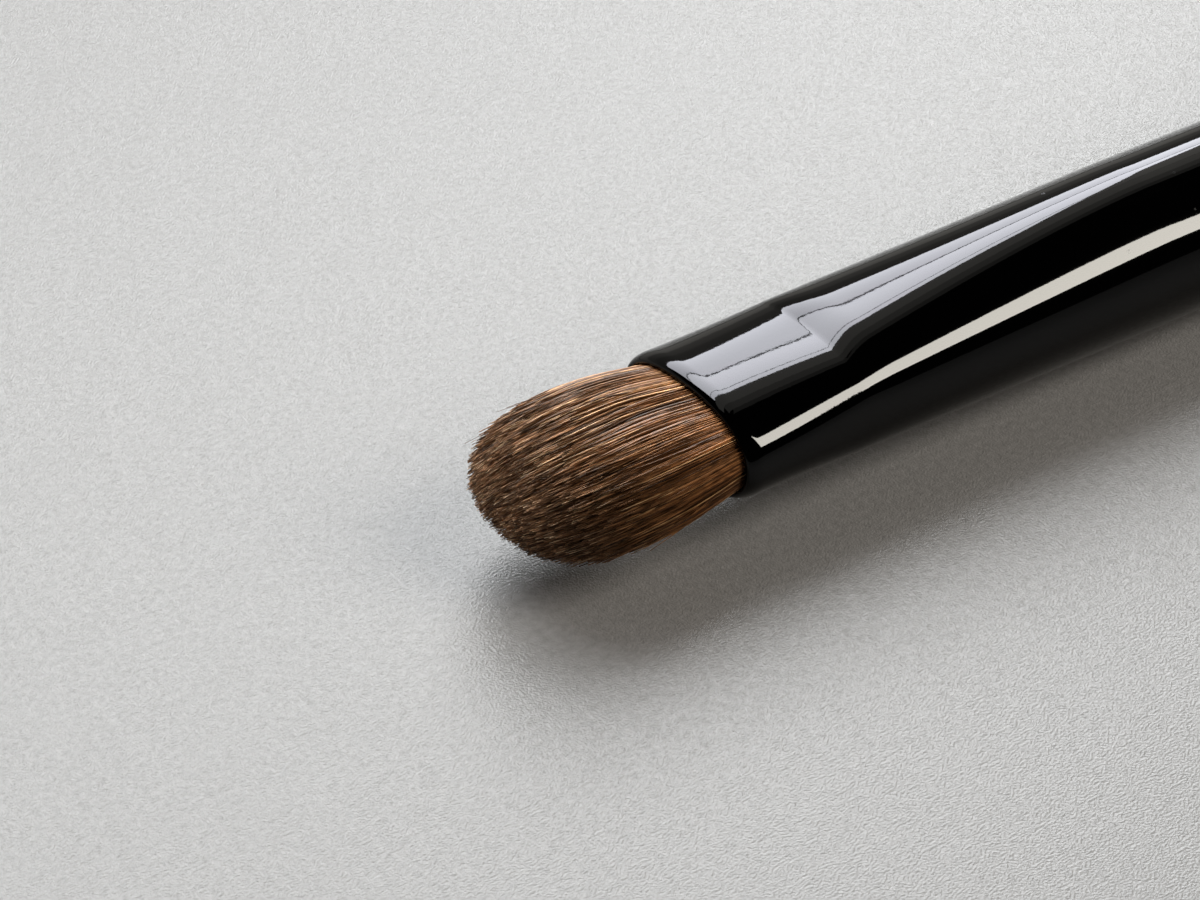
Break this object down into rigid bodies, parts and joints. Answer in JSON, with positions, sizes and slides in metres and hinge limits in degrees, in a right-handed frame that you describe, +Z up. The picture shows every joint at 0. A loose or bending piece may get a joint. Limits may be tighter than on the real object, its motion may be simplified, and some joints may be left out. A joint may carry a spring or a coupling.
{
  "type": "eyeshadow brush",
  "caption": "Eyeshadow brush with a domed flat hair tuft, a black metal ferrule pressed flat at its mouth, and a slim turned wooden handle with a parallel barrel and tapered tail.",
  "frame": {"origin": "under the middle of the brush's length, on the surface that the handle's barrel rests on", "axes": "+X along the brush from the hair's tip towards the handle's tail, +Z up with the wide side of the flattened ferrule level, +Y across the brush"},
  "size_m": [0.1613, 0.0106, 0.0095],
  "materials": {
    "lacquered_wood": "gloss",
    "black_metal": "gloss",
    "hair": "satin",
    "thread": "matte",
    "glue": "gloss"
  },
  "bodies": {
    "root": {"handle": "lacquered_wood", "ferrule": "black_metal", "hair_tuft": "hair", "hair_binding": "thread", "root_glue": "glue", "tenon_glue": "glue"}
  },
  "joints": []
}
